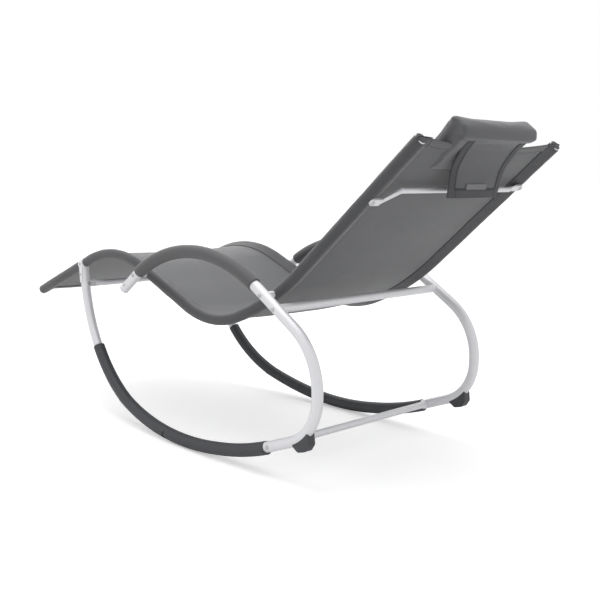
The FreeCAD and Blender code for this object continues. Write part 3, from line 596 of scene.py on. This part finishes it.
def sleeve_section(s):
    """Points of the sleeve's section, out from the seam over the rail and back, as (out, up)."""
    reach = RAIL_X - SEAM_X
    past = max(0.0, (s - rail.length) / HEAD_PAST)
    radius = SLEEVE_R
    tangent = math.acos(radius / reach)
    points = []
    for i in range(6):
        share = i / 6
        edge = Vector((-radius * math.cos(tangent), radius * math.sin(tangent)))
        start = Vector((-reach, 0.0011))
        points.append(start.lerp(edge, share))
    sweep = 2 * (math.pi - tangent)
    for i in range(29):
        angle = math.pi - tangent - sweep * i / 28
        points.append(Vector((radius * math.cos(angle), radius * math.sin(angle))))
    for i in range(6):
        share = (i + 1) / 6
        edge = Vector((-radius * math.cos(tangent), -radius * math.sin(tangent)))
        points.append(edge.lerp(Vector((-reach, -0.0011)), share))
    flat = 1 - HEAD_FLATTEN * min(past, 1.0)
    return [Vector((p.x * (1 + 0.10 * past) if p.x > 0 else p.x, p.y * flat)) for p in points]


def sleeve(side):
    """The cloth sleeve of one rail, open where the lug grips the bare rail."""
    extra = []
    for label, s, half in NOTCHES:
        extra += [s - half, s + half, s - half - 0.004, s + half + 0.004]
    rows = rows_along(-FOOT_PAST, rail.length + HEAD_PAST, 0.009, extra)
    points, uvs = [], []
    for s in rows:
        point, way, up = rail_frame(s)
        section = sleeve_section(s)
        run = 0.0
        for j, (out, rise) in enumerate(section):
            if j:
                run += (section[j] - section[j - 1]).length
            wave = 0.00045 * noise.noise(Vector((s * 22, j * 0.22, side * 7.0)))
            wave += 0.0005 * noise.noise(Vector((s * 60, j * 0.5, side * 9.0)))
            scale = 1 + wave / SLEEVE_R if j not in (0, len(section) - 1) else 1.0
            points.append(point + Vector((side * (RAIL_X + out * scale), 0, 0)) + up * (rise * scale))
            uvs.append((run + 0.3, s))
    columns = len(sleeve_section(0.0))

    def cut_away(i, j):
        middle = (rows[i] + rows[i + 1]) / 2
        inside = any(abs(middle - s) < half for label, s, half in NOTCHES)
        return inside and 3 <= j < columns - 4

    faces = grid_faces(len(rows), columns, skip=cut_away)
    name = "rail_sleeve_" + ("left" if side > 0 else "right")
    obj = shown(name, points, faces, sleeve_textile_painted_shade, uvs=uvs)
    outward(obj)
    thick(obj, CLOTH * 0.8)
    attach(obj, "frame")
    return obj


sleeves = [sleeve(1), sleeve(-1)]
print("sleeve triangles", triangles(sleeves[0]))

# %% [markdown]
# The panel is one sheet. It sags a little between the seams, its free ends curve in, and very
# shallow waves run across it, as pulled cloth has. The folded hems are thicker strips laid over
# its two ends.


# %% A point of the panel
def hollow_at(x):
    return HEM_HOLLOW * max(0.0, 1 - (x / SEAM_X) ** 2)


def panel_point(x, s, off=0.0):
    """Panel surface at x across and s along, and off above it."""
    point, way, up = rail_frame(s)
    sag = -SLING_SAG * (1 - (x / SEAM_X) ** 2)
    wave = 0.0016 * noise.noise(Vector((x * 5.0, s * 11.0, 4.2)))
    wave += 0.0006 * noise.noise(Vector((x * 16.0, s * 30.0, 8.7)))
    calm = 1 - abs(x / SEAM_X) ** 4
    return point + Vector((x, 0, 0)) + up * (sag + wave * calm + off)


PANEL_COLUMNS = 61
PANEL_UNDER_SEAM = 0.004     # how far the panel runs on under each sleeve's seam


def panel():
    """The cloth between the two seams, from hem to hem."""
    rows = rows_along(0.0, rail.length, 0.012)
    points, uvs = [], []
    for s in rows:
        share = s / rail.length
        for j in range(PANEL_COLUMNS):
            x = (SEAM_X + PANEL_UNDER_SEAM) * (2 * j / (PANEL_COLUMNS - 1) - 1)
            t = hollow_at(x) + share * (rail.length - 2 * hollow_at(x))
            points.append(panel_point(x, t))
            uvs.append((x, t))
    obj = shown("sling_panel", points, grid_faces(len(rows), PANEL_COLUMNS), textile, uvs=uvs)
    outward(obj)
    thick(obj, CLOTH)
    return obj


def hem(name, at_head):
    """Folded strip over one free end: out along the top face, round the edge, back below."""
    folds = [(HEM_WIDE, 0.0013), (HEM_WIDE - 0.001, 0.0019), (HEM_WIDE * 0.6, 0.0020), (0.003, 0.0020),
             (0.0, 0.0014), (-0.0012, 0.0), (0.0, -0.0014), (0.003, -0.0020), (HEM_WIDE * 0.6, -0.0020),
             (HEM_WIDE - 0.001, -0.0019), (HEM_WIDE, -0.0013)]
    points, uvs = [], []
    for back, off in folds:
        for j in range(PANEL_COLUMNS):
            x = (SEAM_X + 0.002) * (2 * j / (PANEL_COLUMNS - 1) - 1)
            t = hollow_at(x) + back
            s = rail.length - t if at_head else t
            puff = 0.0004 * noise.noise(Vector((x * 60, back * 40, 1.0)))
            points.append(panel_point(x, s, off * (1 + puff * 200)))
            uvs.append((x, s))
    obj = shown(name, points, grid_faces(len(folds), PANEL_COLUMNS), textile, uvs=uvs)
    outward(obj)
    thick(obj, 0.0008)
    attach(obj, "frame")
    return obj


sling_panel = panel()
foot_hem = hem("foot_hem", False)
head_hem = hem("head_hem", True)
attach(sling_panel, "frame")
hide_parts("sling")
print("panel triangles", triangles(sling_panel))

# %% [markdown]
# ## Stitches
# A sewn line is a row of short thread bumps, so each line is a set of points that know which way
# the seam runs and which way is out. A Geometry Nodes tree puts one small stitch on each point.


# %% The stitch tree
def stitch_tree():
    tree = bpy.data.node_groups.new("stitches on points", "GeometryNodeTree")
    tree.interface.new_socket("Geometry", in_out="INPUT", socket_type="NodeSocketGeometry")
    tree.interface.new_socket("Stitch length", in_out="INPUT", socket_type="NodeSocketFloat")
    tree.interface.new_socket("Thread radius", in_out="INPUT", socket_type="NodeSocketFloat")
    tree.interface.new_socket("Material", in_out="INPUT", socket_type="NodeSocketMaterial")
    tree.interface.new_socket("Geometry", in_out="OUTPUT", socket_type="NodeSocketGeometry")
    given = tree.nodes.new("NodeGroupInput")
    way = node(tree, "GeometryNodeInputNamedAttribute", {"Name": "way"}, data_type="FLOAT_VECTOR")
    turn = node(tree, "FunctionNodeAlignRotationToVector", {"Vector": way.outputs[0]}, axis="Z")
    stitch = node(tree, "GeometryNodeMeshCylinder", {"Vertices": 6, "Radius": given.outputs["Thread radius"],
                                                     "Depth": given.outputs["Stitch length"]})
    placed = node(tree, "GeometryNodeInstanceOnPoints", {"Points": given.outputs["Geometry"],
                                                         "Instance": stitch.outputs["Mesh"],
                                                         "Rotation": turn.outputs[0]})
    real = node(tree, "GeometryNodeRealizeInstances", {0: placed.outputs[0]})
    painted = node(tree, "GeometryNodeSetMaterial", {"Geometry": real.outputs[0],
                                                     "Material": given.outputs["Material"]})
    result = tree.nodes.new("NodeGroupOutput")
    tree.links.new(painted.outputs[0], result.inputs[0])
    return tree


STITCH = stitch_tree()


def stitched(name, lines, body, pitch=0.0042):
    """lines are functions from 0..1 to a point, with a length in metres each."""
    points, ways = [], []
    for line, length in lines:
        count = max(2, int(length / pitch))
        for i in range(count):
            share = (i + 0.5) / count
            here = line(share)
            ahead = line(min(1.0, share + 0.5 / count))
            points.append(here)
            ways.append((ahead - here).normalized())
    mesh = bpy.data.meshes.new(name)
    mesh.from_pydata([tuple(p) for p in points], [], [])
    way = mesh.attributes.new("way", "FLOAT_VECTOR", "POINT")
    for i, w in enumerate(ways):
        way.data[i].vector = w
    obj = bpy.data.objects.new(name, mesh)
    bpy.context.collection.objects.link(obj)
    modifier = obj.modifiers.new("stitches", "NODES")
    modifier.node_group = STITCH
    set_input(modifier, "Stitch length", pitch * 0.72)
    set_input(modifier, "Thread radius", 0.00045)
    set_input(modifier, "Material", thread)
    apply_modifiers(obj)
    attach(obj, body)
    return obj


# %% Sew the sling
def seam_line(x, off):
    return lambda share: panel_point(x, 0.004 + share * (rail.length - 0.008), off)


def hem_line(at_head, off):
    def line(share):
        x = SEAM_X * (2 * share - 1) * 0.985
        t = hollow_at(x) + HEM_WIDE - 0.004
        return panel_point(x, rail.length - t if at_head else t, off)
    return line


lines = [(seam_line(side * (SEAM_X + 0.0025), off), rail.length) for side in (1, -1)
         for off in (0.0022, -0.0022)]
lines += [(hem_line(at_head, off), 2 * SEAM_X) for at_head in (True, False) for off in (0.0024, -0.0024)]
sling_seams = stitched("sling_stitches", lines, "frame")
print("sling stitch triangles", triangles(sling_seams))

# %% [markdown]
# ## The head pillow
# A stuffed cover that lies on the top of the backrest and rolls back over its edge. Its outline
# across is a flat front, a short top and a rounded heel behind the hem, with flat sewn ends.
# Cloth simulation gives it its fullness: the mesh is remeshed, blown up a little with its motion
# capped, and then given one subdivision.

# %% Pillow sizes, along the back from the hem and out from the rails' plane
PILLOW_SECTION = [(-0.100, -0.005), (-0.100, 0.037), (0.040, 0.038), (0.047, -0.004), (0.031, -0.022),
                  (0.012, -0.006)]
PILLOW_ROUND = [0.015, 0.014, 0.010, 0.009, 0.008, 0.004]
PILLOW_FROM = -0.128
PILLOW_TO = 0.165
PILLOW_MIDDLE = (-0.027, 0.015)
PILLOW_VOXEL = 0.005     # mesh size while it is blown up
PILLOW_PRESSURE = 2.5
PILLOW_SWELL = 0.004     # the most that any point may move
CLOTH_FRAMES = 20


def back_point(x, a, t):
    """A place given along the back from the hem, and out from the rails' plane."""
    point, way = rail.at(rail.length)
    up = Vector((1, 0, 0)).cross(way)
    return point + way * a + up * t + Vector((x, 0, 0))


def rounded_outline(corners, radii, steps=6):
    """Closed outline with each corner rounded."""
    outline = []
    count = len(corners)
    for i in range(count):
        here = Vector(corners[i])
        before = (Vector(corners[i - 1]) - here).normalized()
        after = (Vector(corners[(i + 1) % count]) - here).normalized()
        half = before.angle(after) / 2
        reach = radii[i] / math.tan(half)
        start, stop = here + before * reach, here + after * reach
        for k in range(steps + 1):
            share = k / steps
            outline.append((1 - share) ** 2 * start + 2 * share * (1 - share) * here + share ** 2 * stop)
    return outline


def pillow_mesh():
    """The rolled outline, repeated across and drawn in a little at both sewn ends."""
    outline = rounded_outline(PILLOW_SECTION, PILLOW_ROUND)
    centre = Vector(PILLOW_MIDDLE)
    stations = [0.0, 0.004, 0.012, 0.03, 0.1, 0.2, 0.5, 0.8, 0.9, 0.97, 0.988, 0.996, 1.0]
    points = []
    for share in stations:
        edge = min(share, 1 - share)
        shrink = 0.93 if edge < 0.002 else 0.965 if edge < 0.008 else 0.985 if edge < 0.02 else 1.0
        x = PILLOW_FROM + (PILLOW_TO - PILLOW_FROM) * share
        for p in outline:
            q = centre + (p - centre) * shrink
            points.append(back_point(x, q.x, q.y))
    size = len(outline)
    faces = grid_faces(len(stations), size, closed=True)
    faces.append(tuple(range(size)))
    last = (len(stations) - 1) * size
    faces.append(tuple(last + i for i in reversed(range(size))))
    return points, faces


def stuffed(obj, voxel, pressure, cap):
    """Blows a closed form up a little, with its motion capped, and keeps the result."""
    remesh = obj.modifiers.new("remesh", "REMESH")
    remesh.mode = "VOXEL"
    remesh.voxel_size = voxel
    apply_modifiers(obj)
    rest = [v.co.copy() for v in obj.data.vertices]
    cloth = obj.modifiers.new("cloth", "CLOTH")
    cloth.settings.use_pressure = True
    cloth.settings.uniform_pressure_force = pressure
    cloth.settings.effector_weights.gravity = 0
    cloth.settings.tension_stiffness = 12
    cloth.settings.compression_stiffness = 12
    cloth.settings.bending_stiffness = 0.6
    cloth.point_cache.frame_end = CLOTH_FRAMES
    scene = bpy.context.scene
    for step in range(1, CLOTH_FRAMES + 1):
        scene.frame_set(step)
    apply_modifiers(obj)
    scene.frame_set(1)
    for vertex, start in zip(obj.data.vertices, rest):
        move = vertex.co - start
        if move.length > cap:
            vertex.co = start + move * (cap / move.length)


points, faces = pillow_mesh()
pillow = shown("head_pillow_cover", points, faces, cover)
outward(pillow)
stuffed(pillow, PILLOW_VOXEL, PILLOW_PRESSURE, PILLOW_SWELL)
smoothing = pillow.modifiers.new("smooth", "SUBSURF")
smoothing.levels = 1
smoothing.render_levels = 1
apply_modifiers(pillow)
pillow.data.materials.clear()
pillow.data.materials.append(cover)
pillow.data.shade_smooth()
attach(pillow, "pillow")
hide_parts("head_pillow")
print("pillow triangles", triangles(pillow))

# %% [markdown]
# ## The flap
# A tongue of the sling textile is sewn under the pillow's heel and hangs behind the backrest. Its
# two long edges and its end are bound with a broad folded tape, and a smooth patch is sewn near
# its end. The tongue curls: it lies on the hem first, then swings out and hangs.

# %% Flap course and sizes
FLAP_HALF = 0.098        # at its end
FLAP_TAPER = 0.184       # how much wider it is at the pillow
FLAP_MIDDLE = 0.005
FLAP_STOPS = [(0.020, -0.0094), (-0.014, -0.0094), (-0.066, -0.022), (-0.118, -0.066)]
FLAP_TURN = 0.090
FLAP_CURL = 0.006        # how far its lower corners turn in
BINDING_WIDE = 0.022
BINDING_LAP = 0.002      # the cloth runs this far under its binding


def flap_course():
    corners = [back_point(0, a, t) for a, t in FLAP_STOPS]
    return Course(corners, [FLAP_TURN, FLAP_TURN])


flap_line = flap_course()
flap_length = flap_line.length


def flap_point(x, s, off=0.0):
    point, way = flap_line.at(max(0.0, min(flap_length, s)))
    side = Vector((1, 0, 0)).cross(way).normalized()
    share = s / flap_length
    curl = FLAP_CURL * share ** 2 * (x / FLAP_HALF) ** 2
    wave = 0.0022 * share * noise.noise(Vector((x * 14.0, s * 9.0, 2.5)))
    across = Vector((FLAP_MIDDLE + x * (1 + FLAP_TAPER * (1 - share)), 0, 0))
    return point + across - side * (curl + wave) + side * off


def strip(name, x_low, x_high, s_low, s_high, thickness, material, nx, ns):
    """Part of the flap's surface as a sheet of its own thickness."""
    points, uvs = [], []
    for i in range(ns + 1):
        s = s_low + (s_high - s_low) * i / ns
        for j in range(nx + 1):
            x = x_low + (x_high - x_low) * j / nx
            points.append(flap_point(x, s))
            uvs.append((x, s))
    obj = shown(name, points, grid_faces(ns + 1, nx + 1), material, uvs=uvs)
    outward(obj)
    thick(obj, thickness)
    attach(obj, "pillow")
    return obj


inner_half = FLAP_HALF - BINDING_WIDE + BINDING_LAP
inner_length = flap_length - BINDING_WIDE + BINDING_LAP
flap_cloth = strip("flap_cloth", -inner_half, inner_half, 0.0, inner_length, CLOTH, textile, 24, 30)
flap_sides = [strip("flap_binding_" + label, a, b, 0.0, flap_length, 0.0030, binding, 4, 30)
              for label, a, b in (("left", FLAP_HALF - BINDING_WIDE, FLAP_HALF),
                                  ("right", -FLAP_HALF, -FLAP_HALF + BINDING_WIDE))]
flap_end = strip("flap_binding_end", -FLAP_HALF + BINDING_WIDE, FLAP_HALF - BINDING_WIDE,
                 flap_length - BINDING_WIDE, flap_length, 0.0029, binding, 24, 4)
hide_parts("pillow_flap")

# %% The patch, and the flap's stitches
PATCH_HALF = 0.039
PATCH_TALL = 0.013
PATCH_UP = 0.026
PATCH_THICK = 0.0012
OFF_CLOTH = 0.0018       # a patch or a stitch lies this far off the cloth's middle
PATCH_ROWS, PATCH_COLUMNS = 7, 15


def patch_places():
    """(across, along) of each point of the patch on the flap."""
    top = flap_length - PATCH_UP - PATCH_TALL / 2
    return [(PATCH_HALF * (2 * j / (PATCH_COLUMNS - 1) - 1), top + PATCH_TALL * i / (PATCH_ROWS - 1))
            for i in range(PATCH_ROWS) for j in range(PATCH_COLUMNS)]


def behind(s):
    """Sign of the flap's side that faces away from the backrest."""
    point, way = flap_line.at(s)
    side = Vector((1, 0, 0)).cross(way).normalized()
    return 1.0 if side.y > 0 else -1.0


rear = behind(flap_length - PATCH_UP)
places = patch_places()
lifted = [flap_point(x, s, off=rear * OFF_CLOTH) for x, s in places]
patch = shown("flap_patch_cloth", lifted, grid_faces(PATCH_ROWS, PATCH_COLUMNS), patch_cloth, uvs=places)
outward(patch)
thick(patch, PATCH_THICK)
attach(patch, "pillow")
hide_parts("flap_patch")

edge = FLAP_HALF - BINDING_WIDE + 0.003
lines = [((lambda share, x=x, o=off: flap_point(x, share * (flap_length - 0.018), o)), flap_length)
         for x in (edge, -edge) for off in (OFF_CLOTH, -OFF_CLOTH)]
lines += [((lambda share, o=off: flap_point(edge * (2 * share - 1), flap_length - 0.019, o)), 2 * edge)
          for off in (OFF_CLOTH, -OFF_CLOTH)]
flap_seams = stitched("flap_stitches", lines, "pillow", pitch=0.0036)
print("flap stitches", triangles(flap_seams), "triangles")

# %% [markdown]
# ## Floor, light and camera
# The photograph is a plain studio shot on white. A wide flat floor runs out to the horizon, and
# a lift that only the camera sees takes it up to white, so the chair's shadow stays faint and soft.

# %% Floor that stays white in the camera
FLOOR_LIFT = 0.36
FLOOR_HALF = 40.0


def white_floor():
    """White floor material with a lift for camera rays."""
    material = bpy.data.materials.new("studio white")
    material.use_nodes = True
    tree = material.node_tree
    shader = tree.nodes["Principled BSDF"]
    shader.inputs["Base Color"].default_value = (0.9, 0.9, 0.9, 1)
    shader.inputs["Roughness"].default_value = 0.6
    shader.inputs["Specular IOR Level"].default_value = 0.2
    rays = tree.nodes.new("ShaderNodeLightPath")
    lift = tree.nodes.new("ShaderNodeMath")
    lift.operation = "MULTIPLY"
    lift.inputs[1].default_value = FLOOR_LIFT
    tree.links.new(rays.outputs["Is Camera Ray"], lift.inputs[0])
    shader.inputs["Emission Color"].default_value = (1, 1, 1, 1)
    tree.links.new(lift.outputs[0], shader.inputs["Emission Strength"])
    return material


corners = [(x * FLOOR_HALF, y * FLOOR_HALF, 0) for x, y in ((-1, -1), (1, -1), (1, 1), (-1, 1))]
floor = shown("studio_floor", corners, [(0, 1, 2, 3)], white_floor(), smooth=False)

# %% World and lamps
WORLD_LIGHT = 0.85       # on the chair and the floor
WORLD_SEEN = 1.0         # to the camera, which is plain white
world = bpy.data.worlds.new("studio")
bpy.context.scene.world = world
world.use_nodes = True
world.node_tree.nodes["Background"].inputs[0].default_value = (1, 1, 1, 1)
rays = world.node_tree.nodes.new("ShaderNodeLightPath")
strength = world.node_tree.nodes.new("ShaderNodeMapRange")
strength.inputs["To Min"].default_value = WORLD_LIGHT
strength.inputs["To Max"].default_value = WORLD_SEEN
world.node_tree.links.new(rays.outputs["Is Camera Ray"], strength.inputs["Value"])
world.node_tree.links.new(strength.outputs["Result"], world.node_tree.nodes["Background"].inputs[1])


def softbox(name, place, aim, wide, watts):
    """Soft area lamp at a place, turned to a point of the chair."""
    light = bpy.data.lights.new(name, "AREA")
    light.shape = "RECTANGLE"
    light.size, light.size_y = wide
    light.energy = watts
    lamp = bpy.data.objects.new(name, light)
    lamp.location = place
    lamp.rotation_euler = (Vector(aim) - Vector(place)).to_track_quat("-Z", "Y").to_euler()
    bpy.context.collection.objects.link(lamp)
    return lamp


softbox("top light", (0.3, -0.2, 2.6), (0, 0, 0.3), (2.4, 2.4), 28)
softbox("front fill", (-1.5, -2.2, 1.6), (0, 0, 0.4), (1.6, 1.6), 10)
bpy.context.scene.view_settings.view_transform = "Standard"

# %% The camera stands where the photograph was taken from
FOCAL_PX = 907.7
YAW, PITCH, ROLL = 3.91702241, 0.143094477, 0.0135001279
CAMERA_AT = Vector((1.78113413, 1.98260332, 0.758589174)) + moved
FRAME_PX = 600


def photo_camera():
    """The camera, from the focal length in photograph pixels and its place and turn."""
    data = bpy.data.cameras.new("photo camera")
    data.sensor_width = 36.0
    data.lens = FOCAL_PX / FRAME_PX * data.sensor_width
    camera = bpy.data.objects.new("photo camera", data)
    bpy.context.collection.objects.link(camera)
    forward = Vector((math.sin(YAW) * math.cos(PITCH), math.cos(YAW) * math.cos(PITCH), -math.sin(PITCH)))
    right = forward.cross(Vector((0, 0, 1))).normalized()
    above = right.cross(forward)
    turned_right = right * math.cos(ROLL) + above * math.sin(ROLL)
    turned_up = above * math.cos(ROLL) - right * math.sin(ROLL)
    turn = Matrix((turned_right, turned_up, -forward)).transposed()
    camera.matrix_world = Matrix.Translation(CAMERA_AT) @ turn.to_4x4()
    bpy.context.scene.camera = camera
    return camera


photo_camera()
